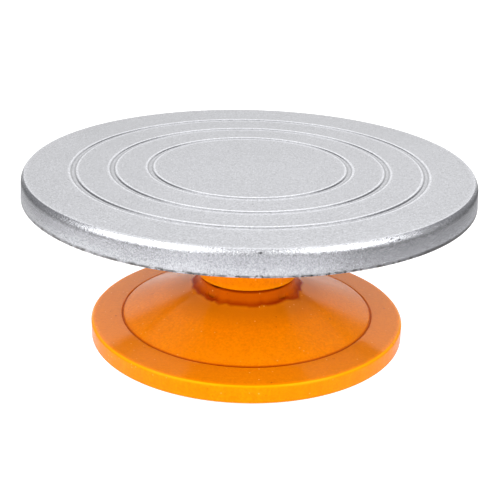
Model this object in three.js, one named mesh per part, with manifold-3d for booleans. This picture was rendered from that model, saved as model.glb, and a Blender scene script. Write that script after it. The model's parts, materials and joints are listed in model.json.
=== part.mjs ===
// Cake turntable: a cast aluminium plate, turned by hand on a heavy enamelled stand.
// Millimetres, +Z up. The origin is on the table, under the axis that the plate turns about.
//
// The stand holds a fixed steel spindle. The hub turns round the spindle on two shielded ball
// bearings, and the plate is screwed down on the hub's flange.
import * as THREE from 'three';
import { mergeVertices } from 'three/addons/utils/BufferGeometryUtils.js';
import Module from 'manifold-3d';

const wasm = await Module();
wasm.setup();

// ---- Driving dimensions ----

const PLATE_RADIUS = 153;
const PLATE_TOP = 122;
const PLATE_WEB = 6;
const SKIRT_DEPTH = 16.5;
const SKIRT_WALL = 5;
const SKIRT_DRAFT = 0.8;
const SHOULDER_WIDTH = 2.2;
const SHOULDER_DROP = 3.5;
const RING_RADII = [118.7, 92.8, 67.4];
const RING_WIDTH = 3.6;
const RING_DEPTH = 0.8;
const PLATE_BOSS_RADIUS = 55;
const PLATE_RECESS_RADIUS = 26;
const PLATE_RECESS_DEPTH = 8;

const HUB_RADIUS = 35.5;
const HUB_BOTTOM = 44;
const HUB_EDGE_ROUND = 2.4;
const HUB_WALL = 4;
const FLANGE_RADIUS = 54;
const FLANGE_TOP = 106;
const FLANGE_THICKNESS = 7;
const SPIGOT_RADIUS = 25.7;
const SPIGOT_HEIGHT = 2;

const BASE_RADIUS = 110.4;
const BASE_BOTTOM = 1;
const RIM_TOP = 11.9;
const RIM_WIDTH = 15.4;
const LEDGE_OUTER = { r: 109, z: 13.3 };
const LEDGE_INNER = { r: 89, z: 15.3 };
const CONE_FOOT = { r: 87.4, z: 15.9 };
const CONE_HEAD = { r: 41, z: 33.8 };
const NECK_RADIUS = 33;
const NECK_TOP = 42;
const BASE_WALL = 5;
const BASE_BOSS_RADIUS = 20;
const BASE_BOSS_BOTTOM = 20;
const BASE_BORE_STEP = 30;

const PAD_INNER = 97;
const PAD_OUTER = 107;
const PAD_SEAT = 4;

const SPINDLE_RADIUS = 8.5;
const SPINDLE_BOTTOM = 4;
const SPINDLE_TOP = 109.5;
const SPINDLE_FLANGE_RADIUS = 17;
const SPINDLE_FLANGE_TOP = 49;
const SPINDLE_COLLAR_RADIUS = 11.5;
const LOWER_THREAD_RADIUS = 7;
const UPPER_THREAD_RADIUS = 6;

const BEARING_RADIUS = 20;
const BEARING_WIDTH = 12;
const LOWER_BEARING_Z = 52;
const UPPER_BEARING_Z = 84;
const BALL_COUNT = 8;
const BALL_RADIUS = 3.3735;
const BALL_CIRCLE_RADIUS = 14.25;
const OUTER_LAND_RADIUS = 16.9;
const INNER_LAND_RADIUS = 11.6;
const SHIELD_SEAT_RADIUS = 18.1;
const SHIELD_SEAT_DEPTH = 1.1;

const RIB_COUNT = 4;
const RIB_THICKNESS = 5;
const SCREW_COUNT = 4;
const SCREW_RADIUS = 3;
const SCREW_CIRCLE_RADIUS = 45;
const SCREW_HEAD_RADIUS = 5;
const SCREW_HEAD_HEIGHT = 6;
const SCREW_LENGTH = 17.5;

// Clearances: between pressed or threaded pieces, round the balls, and round moving pieces.
const FIT_GAP = 0.1;
const BALL_GAP = 0.25;
const POCKET_GAP = 0.45;

// Flats round a turned piece, and points along a curved part of an outline.
const CASTING_STEPS = 72;
const HUB_STEPS = 48;
const BEARING_STEPS = 24;
const SCREW_STEPS = 10;
const BALL_STEPS = 8;
const BALL_RINGS = 6;
const CURVE_STEPS = 3;

const SKIRT_BOTTOM = PLATE_TOP - SKIRT_DEPTH;
const PLATE_UNDERSIDE = PLATE_TOP - PLATE_WEB;
const FLANGE_BOTTOM = FLANGE_TOP - FLANGE_THICKNESS;
const LOWER_BEARING_TOP = LOWER_BEARING_Z + BEARING_WIDTH;
const UPPER_BEARING_TOP = UPPER_BEARING_Z + BEARING_WIDTH;

// ---- Materials ----

const finish = (color, roughness, metalness) =>
  new THREE.MeshStandardMaterial({ color, roughness, metalness });
const castAluminium = finish('#c8cace', 0.5, 0.85);
const orangeEnamel = finish('#f27f08', 0.2, 0);
const bearingSteel = finish('#c4c7cc', 0.2, 1);
const zincSteel = finish('#b3b2a8', 0.35, 1);
const whiteNylon = finish('#e9e4d4', 0.5, 0);
const brownFelt = finish('#5d5347', 0.95, 0);
const blackRubber = finish('#232325', 0.85, 0);

// ---- Geometry helpers ----

// Turns a LatheGeometry's +Y axis to +Z.
const upright = (geometry) => geometry.rotateX(Math.PI / 2);

// A solid of revolution whose outline starts and ends on the axis.
function turned(outline, steps) {
  return upright(new THREE.LatheGeometry(outline.getPoints(CURVE_STEPS), steps));
}

// A ring, whose outline closes on itself clear of the axis.
function turnedRing(outline, steps) {
  outline.closePath();
  return turned(outline, steps);
}

// A plain ring of square section.
function collar(inner, outer, bottom, top, steps = BEARING_STEPS) {
  const outline = new THREE.Path();
  outline.moveTo(inner, bottom);
  outline.lineTo(outer, bottom);
  outline.lineTo(outer, top);
  outline.lineTo(inner, top);
  return turnedRing(outline, steps);
}

// A cylinder along Z between two heights.
function rod(radius, bottom, top, steps) {
  const geometry = upright(new THREE.CylinderGeometry(radius, radius, top - bottom, steps));
  return geometry.translate(0, 0, (bottom + top) / 2);
}

// A prism that stands on an outline in the XY plane.
function prism(shape, bottom, top) {
  const geometry = new THREE.ExtrudeGeometry(shape, {
    depth: top - bottom,
    bevelEnabled: false,
    curveSegments: BEARING_STEPS / 2,
  });
  return geometry.translate(0, 0, bottom);
}

// A closed geometry as a manifold-3d solid.
function toSolid(geometry) {
  geometry.deleteAttribute('normal');
  geometry.deleteAttribute('uv');
  const welded = mergeVertices(geometry);
  const corners = [];
  const index = welded.index.array;
  for (let i = 0; i < index.length; i += 3) {
    const [a, b, c] = index.slice(i, i + 3);
    if (a !== b && b !== c && c !== a) corners.push(a, b, c);
  }
  return new wasm.Manifold(new wasm.Mesh({
    numProp: 3,
    vertProperties: welded.attributes.position.array,
    triVerts: Uint32Array.from(corners),
  }));
}

function toGeometry(solid) {
  const mesh = solid.getMesh();
  const geometry = new THREE.BufferGeometry();
  geometry.setAttribute('position', new THREE.BufferAttribute(mesh.vertProperties, 3));
  geometry.setIndex(new THREE.BufferAttribute(mesh.triVerts, 1));
  geometry.computeVertexNormals();
  return geometry;
}

// Joins some geometries to a body, then cuts others from it.
function shaped(body, joined, cut) {
  let solid = toSolid(body);
  for (const geometry of joined) solid = solid.add(toSolid(geometry));
  for (const geometry of cut) solid = solid.subtract(toSolid(geometry));
  return toGeometry(solid);
}

// Copies of a geometry spaced evenly round the Z axis.
function aroundAxis(geometry, count, firstAngle) {
  return Array.from({ length: count }, (_, i) =>
    geometry.clone().rotateZ(firstAngle + (2 * Math.PI * i) / count));
}

// A radial rib, from its outline in the plane of radius and height.
function rib(points) {
  const outline = new THREE.Shape(points.map(([r, z]) => new THREE.Vector2(r, z)));
  const flat = prism(outline, -RIB_THICKNESS / 2, RIB_THICKNESS / 2);
  return upright(flat);
}

function piece(name, geometry, material) {
  const mesh = new THREE.Mesh(geometry, material);
  mesh.name = name;
  return mesh;
}

// ---- Plate ----

// The plate's top carries three shallow guide rings. Its rim turns down as a skirt
// that widens slightly downwards, by the mould's draft.
function plateOutline() {
  const inside = PLATE_RADIUS - SKIRT_WALL;
  const skirtRadius = PLATE_RADIUS + SKIRT_DRAFT;
  const fillet = 3;
  const edge = 0.8;
  const outline = new THREE.Path();
  outline.moveTo(0, FLANGE_TOP + PLATE_RECESS_DEPTH);
  outline.lineTo(PLATE_RECESS_RADIUS, FLANGE_TOP + PLATE_RECESS_DEPTH);
  outline.lineTo(PLATE_RECESS_RADIUS, FLANGE_TOP);
  outline.lineTo(PLATE_BOSS_RADIUS, FLANGE_TOP);
  outline.lineTo(PLATE_BOSS_RADIUS + 1, PLATE_UNDERSIDE);
  outline.lineTo(inside - fillet, PLATE_UNDERSIDE);
  outline.quadraticCurveTo(inside, PLATE_UNDERSIDE, inside, PLATE_UNDERSIDE - fillet);
  outline.lineTo(inside, SKIRT_BOTTOM);
  outline.lineTo(skirtRadius - edge, SKIRT_BOTTOM);
  outline.lineTo(skirtRadius, SKIRT_BOTTOM + edge);
  outline.lineTo(PLATE_RADIUS, PLATE_TOP - SHOULDER_DROP);
  outline.lineTo(PLATE_RADIUS - SHOULDER_WIDTH * 0.32, PLATE_TOP - SHOULDER_DROP * 0.46);
  outline.lineTo(PLATE_RADIUS - SHOULDER_WIDTH, PLATE_TOP);
  for (const radius of RING_RADII) {
    outline.lineTo(radius + RING_WIDTH / 2, PLATE_TOP);
    outline.lineTo(radius, PLATE_TOP - RING_DEPTH);
    outline.lineTo(radius - RING_WIDTH / 2, PLATE_TOP);
  }
  outline.lineTo(0, PLATE_TOP);
  return outline;
}

function makePlate() {
  const ribDepth = 8;
  const plateRib = rib([
    [PLATE_BOSS_RADIUS - 1, PLATE_UNDERSIDE - ribDepth],
    [PLATE_RADIUS - SKIRT_WALL + 1, PLATE_UNDERSIDE - ribDepth],
    [PLATE_RADIUS - SKIRT_WALL + 1, PLATE_UNDERSIDE + 1],
    [PLATE_BOSS_RADIUS - 1, PLATE_UNDERSIDE + 1],
  ]);
  const tappedHole = rod(SCREW_RADIUS + FIT_GAP, FLANGE_TOP - 1, FLANGE_TOP + 11.5, SCREW_STEPS);
  tappedHole.translate(SCREW_CIRCLE_RADIUS, 0, 0);
  return shaped(
    turned(plateOutline(), CASTING_STEPS),
    aroundAxis(plateRib, RIB_COUNT, Math.PI / RIB_COUNT),
    aroundAxis(tappedHole, SCREW_COUNT, 0),
  );
}

// ---- Hub ----

const RETAINER = { groove: 21.25, bottom: 50.1, top: 51.95 };
const SEAL_GROOVE = { radius: 22, bottom: 45.2, top: 48.2 };
const HUB_MOUTH_RADIUS = 18.2;

// The hub's bore seats a bearing at each side of a middle land. Under them are the grooves of
// the retaining ring and the dust seal. A ring-shaped core thins the wall from above.
function hubOutline() {
  const landRadius = 17.5;
  const fillet = 3;
  const edge = 0.8;
  const core = { inner: SPIGOT_RADIUS, outer: HUB_RADIUS - HUB_WALL, bottom: 53, draft: 0.5 };
  const outline = new THREE.Path();
  outline.moveTo(HUB_MOUTH_RADIUS, HUB_BOTTOM);
  outline.lineTo(HUB_RADIUS - HUB_EDGE_ROUND, HUB_BOTTOM);
  outline.quadraticCurveTo(HUB_RADIUS, HUB_BOTTOM, HUB_RADIUS, HUB_BOTTOM + HUB_EDGE_ROUND);
  outline.lineTo(HUB_RADIUS, FLANGE_BOTTOM - fillet);
  outline.quadraticCurveTo(HUB_RADIUS, FLANGE_BOTTOM, HUB_RADIUS + fillet, FLANGE_BOTTOM);
  outline.lineTo(FLANGE_RADIUS - edge, FLANGE_BOTTOM);
  outline.lineTo(FLANGE_RADIUS, FLANGE_BOTTOM + edge);
  outline.lineTo(FLANGE_RADIUS, FLANGE_TOP);
  outline.lineTo(core.outer, FLANGE_TOP);
  outline.lineTo(core.outer - core.draft, core.bottom);
  outline.lineTo(core.inner + core.draft, core.bottom);
  outline.lineTo(core.inner, FLANGE_TOP + SPIGOT_HEIGHT);
  outline.lineTo(BEARING_RADIUS, FLANGE_TOP + SPIGOT_HEIGHT);
  outline.lineTo(BEARING_RADIUS, UPPER_BEARING_Z);
  outline.lineTo(landRadius, UPPER_BEARING_Z);
  outline.lineTo(landRadius, LOWER_BEARING_TOP);
  outline.lineTo(BEARING_RADIUS, LOWER_BEARING_TOP);
  outline.lineTo(BEARING_RADIUS, RETAINER.top);
  outline.lineTo(RETAINER.groove, RETAINER.top);
  outline.lineTo(RETAINER.groove, RETAINER.bottom);
  outline.lineTo(BEARING_RADIUS, RETAINER.bottom);
  outline.lineTo(BEARING_RADIUS, SEAL_GROOVE.top);
  outline.lineTo(SEAL_GROOVE.radius, SEAL_GROOVE.top);
  outline.lineTo(SEAL_GROOVE.radius, SEAL_GROOVE.bottom);
  outline.lineTo(HUB_MOUTH_RADIUS, SEAL_GROOVE.bottom);
  return outline;
}

function makeHub() {
  const clearanceHole = rod(SCREW_RADIUS + 0.3, FLANGE_BOTTOM - 1, FLANGE_TOP + 1, SCREW_STEPS);
  clearanceHole.translate(SCREW_CIRCLE_RADIUS, 0, 0);
  const holes = aroundAxis(clearanceHole, SCREW_COUNT, 0);
  return shaped(turnedRing(hubOutline(), HUB_STEPS), [], holes);
}

// A socket-head screw that points up, with its head's face on the flange's underside.
function makeHubScrew() {
  const socketRadius = 2.9;
  const socketDepth = 3;
  const bevel = 0.5;
  const headBottom = FLANGE_BOTTOM - SCREW_HEAD_HEIGHT;
  const outline = new THREE.Path();
  outline.moveTo(0, headBottom);
  outline.lineTo(SCREW_HEAD_RADIUS - bevel, headBottom);
  outline.lineTo(SCREW_HEAD_RADIUS, headBottom + bevel);
  outline.lineTo(SCREW_HEAD_RADIUS, FLANGE_BOTTOM);
  outline.lineTo(SCREW_RADIUS, FLANGE_BOTTOM);
  outline.lineTo(SCREW_RADIUS, FLANGE_BOTTOM + SCREW_LENGTH - bevel);
  outline.lineTo(SCREW_RADIUS - bevel, FLANGE_BOTTOM + SCREW_LENGTH);
  outline.lineTo(0, FLANGE_BOTTOM + SCREW_LENGTH);
  const socket = rod(socketRadius, headBottom - 1, headBottom + socketDepth, 6);
  return shaped(turned(outline, SCREW_STEPS), [], [socket]);
}

// A sprung ring with a gap, and an eye for the pliers at each end.
function makeRetainingRing() {
  const outer = RETAINER.groove - FIT_GAP;
  const inner = 18.4;
  const gapAngle = 0.3;
  const eye = { circle: 17.6, radius: 1.9, hole: 0.9 };
  const band = new THREE.Shape();
  band.absarc(0, 0, outer, gapAngle, 2 * Math.PI - gapAngle, false);
  band.absarc(0, 0, inner, 2 * Math.PI - gapAngle, gapAngle, true);
  const top = RETAINER.top - FIT_GAP;
  const bottom = RETAINER.bottom + FIT_GAP;
  const eyes = [gapAngle, -gapAngle].map((angle) => ({
    x: eye.circle * Math.cos(angle),
    y: eye.circle * Math.sin(angle),
  }));
  const lugs = eyes.map(({ x, y }) => rod(eye.radius, bottom, top, SCREW_STEPS).translate(x, y, 0));
  const holes = eyes.map(({ x, y }) =>
    rod(eye.hole, bottom - 1, top + 1, SCREW_STEPS).translate(x, y, 0));
  return shaped(prism(band, bottom, top), lugs, holes);
}

// ---- Bearings ----

// The groove that the balls run in, from one land to the other, on the side that faces outward
// (the inner race) or inward (the outer race).
function addBallGroove(outline, landRadius, middle, upward) {
  const grooveRadius = BALL_RADIUS + BALL_GAP;
  const reach = Math.abs(landRadius - BALL_CIRCLE_RADIUS);
  const halfAngle = Math.acos(reach / grooveRadius);
  const facing = landRadius > BALL_CIRCLE_RADIUS ? 0 : Math.PI;
  const turn = upward === (facing === 0) ? 1 : -1;
  const steps = 4;
  for (let i = 0; i <= steps; i += 1) {
    const angle = facing + turn * halfAngle * ((2 * i) / steps - 1);
    outline.lineTo(
      BALL_CIRCLE_RADIUS + grooveRadius * Math.cos(angle),
      middle + grooveRadius * Math.sin(angle),
    );
  }
}

function makeOuterRace(bottom) {
  const top = bottom + BEARING_WIDTH;
  const outer = BEARING_RADIUS - FIT_GAP;
  const outline = new THREE.Path();
  outline.moveTo(SHIELD_SEAT_RADIUS, bottom);
  outline.lineTo(outer, bottom);
  outline.lineTo(outer, top);
  outline.lineTo(SHIELD_SEAT_RADIUS, top);
  outline.lineTo(SHIELD_SEAT_RADIUS, top - SHIELD_SEAT_DEPTH);
  outline.lineTo(OUTER_LAND_RADIUS, top - SHIELD_SEAT_DEPTH);
  addBallGroove(outline, OUTER_LAND_RADIUS, bottom + BEARING_WIDTH / 2, false);
  outline.lineTo(OUTER_LAND_RADIUS, bottom + SHIELD_SEAT_DEPTH);
  outline.lineTo(SHIELD_SEAT_RADIUS, bottom + SHIELD_SEAT_DEPTH);
  return turnedRing(outline, BEARING_STEPS);
}

function makeInnerRace(bottom) {
  const top = bottom + BEARING_WIDTH;
  const inner = SPINDLE_RADIUS + FIT_GAP;
  const outline = new THREE.Path();
  outline.moveTo(inner, bottom);
  outline.lineTo(INNER_LAND_RADIUS, bottom);
  addBallGroove(outline, INNER_LAND_RADIUS, bottom + BEARING_WIDTH / 2, true);
  outline.lineTo(INNER_LAND_RADIUS, top);
  outline.lineTo(inner, top);
  return turnedRing(outline, BEARING_STEPS);
}

function makeShield(bottom) {
  const inner = INNER_LAND_RADIUS + 0.4;
  return collar(inner, SHIELD_SEAT_RADIUS - FIT_GAP, bottom, bottom + 0.8);
}

function makeBall() {
  return upright(new THREE.SphereGeometry(BALL_RADIUS, BALL_STEPS, BALL_RINGS));
}

// A crown cage: a ring under the balls, with a pocket for each ball open at the top.
function makeCage(bearingBottom) {
  const middle = bearingBottom + BEARING_WIDTH / 2;
  const ring = collar(12.4, 16.1, middle - 4.4, middle + 1.3);
  const pocketRadius = BALL_RADIUS + POCKET_GAP;
  const pocket = upright(new THREE.SphereGeometry(pocketRadius, BALL_STEPS, BALL_RINGS));
  pocket.translate(BALL_CIRCLE_RADIUS, 0, middle);
  return shaped(ring, [], aroundAxis(pocket, BALL_COUNT, 0));
}

// Every piece of one bearing, with its lower face at the given height.
function makeBearing(prefix, bottom) {
  const lowShield = bottom + 0.25;
  const highShield = bottom + BEARING_WIDTH - SHIELD_SEAT_DEPTH + FIT_GAP;
  const pieces = [
    piece(`${prefix}_outer_race`, makeOuterRace(bottom), bearingSteel),
    piece(`${prefix}_inner_race`, makeInnerRace(bottom), bearingSteel),
    piece(`${prefix}_lower_shield`, makeShield(lowShield), bearingSteel),
    piece(`${prefix}_upper_shield`, makeShield(highShield), bearingSteel),
    piece(`${prefix}_cage`, makeCage(bottom), whiteNylon),
  ];
  for (let i = 0; i < BALL_COUNT; i += 1) {
    const angle = (2 * Math.PI * i) / BALL_COUNT;
    const ball = piece(`${prefix}_ball_${i + 1}`, makeBall(), bearingSteel);
    ball.position.set(
      BALL_CIRCLE_RADIUS * Math.cos(angle),
      BALL_CIRCLE_RADIUS * Math.sin(angle),
      bottom + BEARING_WIDTH / 2,
    );
    pieces.push(ball);
  }
  return pieces;
}

// ---- Stand ----

const BORE_RADIUS = SPINDLE_RADIUS + FIT_GAP;
const THREAD_HOLE_RADIUS = LOWER_THREAD_RADIUS + 0.5;

// The stand is a low cone on a thick rim, hollow underneath, with a boss for the spindle.
function baseOutline() {
  const rimInside = BASE_RADIUS - RIM_WIDTH;
  const edge = 0.8;
  const outline = new THREE.Path();
  outline.moveTo(THREAD_HOLE_RADIUS, BASE_BOSS_BOTTOM);
  outline.lineTo(BASE_BOSS_RADIUS, BASE_BOSS_BOTTOM);
  outline.lineTo(BASE_BOSS_RADIUS + 1, NECK_TOP - BASE_WALL - 1);
  outline.lineTo(NECK_RADIUS - BASE_WALL, NECK_TOP - BASE_WALL - 1);
  outline.lineTo(CONE_HEAD.r - 1, CONE_HEAD.z - BASE_WALL);
  outline.lineTo(CONE_FOOT.r - 4, CONE_FOOT.z - BASE_WALL + 0.6);
  outline.lineTo(rimInside, LEDGE_INNER.z - BASE_WALL - 0.6);
  outline.lineTo(rimInside, BASE_BOTTOM);
  outline.lineTo(PAD_INNER, BASE_BOTTOM);
  outline.lineTo(PAD_INNER, PAD_SEAT);
  outline.lineTo(PAD_OUTER, PAD_SEAT);
  outline.lineTo(PAD_OUTER, BASE_BOTTOM);
  outline.lineTo(BASE_RADIUS - edge, BASE_BOTTOM);
  outline.lineTo(BASE_RADIUS, BASE_BOTTOM + edge);
  outline.lineTo(BASE_RADIUS, RIM_TOP);
  outline.quadraticCurveTo(BASE_RADIUS, LEDGE_OUTER.z - 0.2, LEDGE_OUTER.r, LEDGE_OUTER.z);
  outline.lineTo(LEDGE_INNER.r, LEDGE_INNER.z);
  outline.lineTo((LEDGE_INNER.r + CONE_FOOT.r) / 2, LEDGE_INNER.z - 0.7);
  outline.lineTo(CONE_FOOT.r, CONE_FOOT.z);
  outline.lineTo(CONE_HEAD.r, CONE_HEAD.z);
  outline.quadraticCurveTo(NECK_RADIUS + 1.5, CONE_HEAD.z + 2.6, NECK_RADIUS, NECK_TOP - 1);
  outline.lineTo(NECK_RADIUS - 1, NECK_TOP);
  outline.lineTo(BORE_RADIUS, NECK_TOP);
  outline.lineTo(BORE_RADIUS, BASE_BORE_STEP);
  outline.lineTo(THREAD_HOLE_RADIUS, BASE_BORE_STEP);
  return outline;
}

function makeBase() {
  const baseRib = rib([
    [BASE_BOSS_RADIUS - 1, BASE_BOSS_BOTTOM + 2],
    [BASE_RADIUS - RIM_WIDTH + 1, BASE_BOTTOM + 4],
    [BASE_RADIUS - RIM_WIDTH + 1, LEDGE_INNER.z - BASE_WALL],
    [CONE_FOOT.r - 4, CONE_FOOT.z - BASE_WALL + 2],
    [CONE_HEAD.r - 1, CONE_HEAD.z - BASE_WALL + 2],
    [BASE_BOSS_RADIUS - 1, NECK_TOP - BASE_WALL],
  ]);
  const ribs = aroundAxis(baseRib, RIB_COUNT, Math.PI / RIB_COUNT);
  return shaped(turnedRing(baseOutline(), CASTING_STEPS), ribs, []);
}

// A shouldered post: a thread below for the stand, a seat for the bearings, a thread above.
function makeSpindle() {
  const bevel = 0.8;
  const outline = new THREE.Path();
  outline.moveTo(0, SPINDLE_BOTTOM);
  outline.lineTo(LOWER_THREAD_RADIUS - bevel, SPINDLE_BOTTOM);
  outline.lineTo(LOWER_THREAD_RADIUS, SPINDLE_BOTTOM + bevel);
  outline.lineTo(LOWER_THREAD_RADIUS, BASE_BORE_STEP + 0.1);
  outline.lineTo(SPINDLE_RADIUS, BASE_BORE_STEP + 0.1);
  outline.lineTo(SPINDLE_RADIUS, NECK_TOP);
  outline.lineTo(SPINDLE_FLANGE_RADIUS, NECK_TOP);
  outline.lineTo(SPINDLE_FLANGE_RADIUS, SPINDLE_FLANGE_TOP);
  outline.lineTo(SPINDLE_COLLAR_RADIUS, SPINDLE_FLANGE_TOP);
  outline.lineTo(SPINDLE_COLLAR_RADIUS, LOWER_BEARING_Z);
  outline.lineTo(SPINDLE_RADIUS, LOWER_BEARING_Z);
  outline.lineTo(SPINDLE_RADIUS, UPPER_BEARING_TOP - 0.5);
  outline.lineTo(UPPER_THREAD_RADIUS, UPPER_BEARING_TOP - 0.5);
  outline.lineTo(UPPER_THREAD_RADIUS, SPINDLE_TOP - bevel);
  outline.lineTo(UPPER_THREAD_RADIUS - bevel, SPINDLE_TOP);
  outline.lineTo(0, SPINDLE_TOP);
  return turned(outline, BEARING_STEPS);
}

// A hexagonal nut, with its corners turned down at both faces.
function makeNut(acrossFlats, threadRadius, bottom, top) {
  const cornerRadius = acrossFlats / Math.sqrt(3);
  const turnDown = cornerRadius - acrossFlats / 2;
  const outline = new THREE.Path();
  outline.moveTo(threadRadius + FIT_GAP, bottom);
  outline.lineTo(acrossFlats / 2, bottom);
  outline.lineTo(cornerRadius + FIT_GAP, bottom + turnDown);
  outline.lineTo(cornerRadius + FIT_GAP, top - turnDown);
  outline.lineTo(acrossFlats / 2, top);
  outline.lineTo(threadRadius + FIT_GAP, top);
  const turning = toSolid(turnedRing(outline, BEARING_STEPS));
  const hexagon = toSolid(rod(cornerRadius, bottom - 1, top + 1, 6));
  return toGeometry(turning.intersect(hexagon));
}

function makeStand() {
  const baseWasher = { bottom: BASE_BOSS_BOTTOM - 2.5, top: BASE_BOSS_BOTTOM };
  const topWasher = { bottom: UPPER_BEARING_TOP, top: UPPER_BEARING_TOP + 2.5 };
  const washerGap = 0.3;
  const baseWasherShape = collar(
    LOWER_THREAD_RADIUS + washerGap, 14, baseWasher.bottom, baseWasher.top);
  const topWasherShape = collar(
    UPPER_THREAD_RADIUS + washerGap, INNER_LAND_RADIUS - 0.3, topWasher.bottom, topWasher.top);
  const baseNutShape = makeNut(22, LOWER_THREAD_RADIUS, baseWasher.bottom - 11, baseWasher.bottom);
  const topNutShape = makeNut(18, UPPER_THREAD_RADIUS, topWasher.top, topWasher.top + 6.5);
  const spacerShape = collar(
    SPINDLE_RADIUS + FIT_GAP, INNER_LAND_RADIUS - 0.3, LOWER_BEARING_TOP, UPPER_BEARING_Z);
  const padShape = collar(
    PAD_INNER + 0.2, PAD_OUTER - 0.2, 0, PAD_SEAT - FIT_GAP, CASTING_STEPS);
  return [
    piece('base_casting', makeBase(), orangeEnamel),
    piece('non_slip_ring', padShape, blackRubber),
    piece('spindle', makeSpindle(), zincSteel),
    piece('base_washer', baseWasherShape, zincSteel),
    piece('base_nut', baseNutShape, zincSteel),
    piece('inner_race_spacer', spacerShape, zincSteel),
    piece('top_washer', topWasherShape, zincSteel),
    piece('top_lock_nut', topNutShape, zincSteel),
  ];
}

// ---- Turning assembly ----

function makeRotor() {
  const sealShape = collar(
    SPINDLE_FLANGE_RADIUS + 0.25, SEAL_GROOVE.radius - 0.1,
    SEAL_GROOVE.bottom + FIT_GAP, SEAL_GROOVE.top - FIT_GAP);
  const pieces = [
    piece('turntable_plate', makePlate(), castAluminium),
    piece('hub_housing', makeHub(), orangeEnamel),
    piece('bearing_retaining_ring', makeRetainingRing(), zincSteel),
    piece('felt_dust_seal', sealShape, brownFelt),
  ];
  for (let i = 0; i < SCREW_COUNT; i += 1) {
    const angle = (2 * Math.PI * i) / SCREW_COUNT;
    const screw = piece(`hub_screw_${i + 1}`, makeHubScrew(), zincSteel);
    screw.position.set(
      SCREW_CIRCLE_RADIUS * Math.cos(angle), SCREW_CIRCLE_RADIUS * Math.sin(angle), 0);
    screw.rotation.z = angle;
    pieces.push(screw);
  }
  return pieces;
}

const turntable = new THREE.Group();
turntable.add(...makeStand());
turntable.add(...makeBearing('lower_bearing', LOWER_BEARING_Z));
turntable.add(...makeBearing('upper_bearing', UPPER_BEARING_Z));
turntable.add(...makeRotor());

export default turntable;
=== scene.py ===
import json
import math

import bmesh
import bpy
from mathutils import Matrix, Vector, noise


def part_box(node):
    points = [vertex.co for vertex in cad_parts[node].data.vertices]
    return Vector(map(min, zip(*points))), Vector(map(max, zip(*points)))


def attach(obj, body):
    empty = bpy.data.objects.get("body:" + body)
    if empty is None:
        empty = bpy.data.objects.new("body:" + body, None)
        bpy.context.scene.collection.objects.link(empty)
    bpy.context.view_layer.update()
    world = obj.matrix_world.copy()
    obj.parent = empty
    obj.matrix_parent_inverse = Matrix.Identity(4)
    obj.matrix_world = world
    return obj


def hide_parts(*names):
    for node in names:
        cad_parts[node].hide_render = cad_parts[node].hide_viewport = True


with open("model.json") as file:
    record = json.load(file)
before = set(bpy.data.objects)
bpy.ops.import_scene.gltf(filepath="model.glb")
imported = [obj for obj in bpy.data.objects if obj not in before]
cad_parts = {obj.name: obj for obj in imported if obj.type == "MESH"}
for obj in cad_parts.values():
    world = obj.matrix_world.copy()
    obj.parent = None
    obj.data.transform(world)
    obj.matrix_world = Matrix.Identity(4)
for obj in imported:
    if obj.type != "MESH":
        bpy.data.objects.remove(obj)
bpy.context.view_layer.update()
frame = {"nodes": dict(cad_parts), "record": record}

MM = 0.001
TURN = 2 * math.pi


def box_in_mm(node):
    """The low and the high corner of a CAD node's box, in millimetres."""
    return [[c / MM for c in corner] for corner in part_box(node)]


def heights(node):
    """The lowest and the highest point of a CAD node, in millimetres."""
    low, high = box_in_mm(node)
    return low[2], high[2]


# Sizes in millimetres, read from the CAD nodes' boxes.
PLATE_LOW, PLATE_HIGH = box_in_mm("turntable_plate")
HUB_LOW, HUB_HIGH = box_in_mm("hub_housing")
BASE_LOW, BASE_HIGH = box_in_mm("base_casting")
PAD_LOW, PAD_HIGH = box_in_mm("non_slip_ring")

SKIRT_RADIUS = PLATE_HIGH[0]
PLATE_TOP = PLATE_HIGH[2]
SKIRT_BOTTOM = PLATE_LOW[2]
FLANGE_RADIUS = HUB_HIGH[0]
HUB_BOTTOM = HUB_LOW[2]
BASE_RADIUS = BASE_HIGH[0]
BASE_BOTTOM = BASE_LOW[2]
NECK_TOP = BASE_HIGH[2]
FLOOR = PAD_LOW[2]

# Sizes in millimetres that the boxes don't give. Both castings have four ribs.
RIB_COUNT = 4
RIB_SECTOR = TURN / RIB_COUNT

# The plate, with a boss under its middle and a recess in the boss over the hub's bore.
PLATE_WEB = 6
PLATE_RIB_BOTTOM = PLATE_TOP - PLATE_WEB - 8
SKIRT_WALL = 5
SKIRT_DRAFT = 0.8
PLATE_RADIUS = SKIRT_RADIUS - SKIRT_DRAFT
SHOULDER_WIDTH = 2.2
SHOULDER_DROP = 3.9
RING_RADII = (118.7, 92.8, 67.4)
BOSS_RADIUS = 55
RECESS_RADIUS = 26
RECESS_TOP = 114

# The hub, its bearings' seats and its screws.
FLANGE_TOP = 106
FLANGE_BOTTOM = 99
HUB_RADIUS = 35.5
RACE_RADIUS = 20
SCREW_COUNT = 4
SCREW_CIRCLE = 45
SCREW_RADIUS = 3
SCREW_HEAD_RADIUS = 5
SCREW_HEAD_HEIGHT = 6

# Distance from the axis and height of points on the stand: the ends of its cone, and of the
# lower edge of its ribs.
CONE_TOP = (41, 33.8)
CONE_FOOT = (87.4, 15.9)
RIB_START = (19, 22)
RIB_END = (96, 5)
STAND_INSIDE = BASE_RADIUS - 15.4
STAND_BOSS_RADIUS = 20
NECK_RADIUS = 33
PAD_GROOVE = (97, 107)
PAD_GROOVE_TOP = 4

# The enamel round the neck has pooled out to about this radius, and down to this height.
POOL_RADIUS = 37.9
POOL_BOTTOM = 30.5

# The spindle, with a coarse thread at its lower end and a finer one at its upper end.
SPINDLE_LOW, SPINDLE_HIGH = heights("spindle")
LOWER_THREAD_RADIUS = 7
UPPER_THREAD_RADIUS = 6

# Edges that turn by more than this stay sharp.
SHARP_ANGLE = math.radians(32)

# Colours of worn or dirty paint, which also stands for painted shade on the skirt's bottom edge, and of the
# bright part of the table.
GRIME_AND_SHADE = (0.11, 0.105, 0.10)
PALE = (0.9, 0.9, 0.9)

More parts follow.
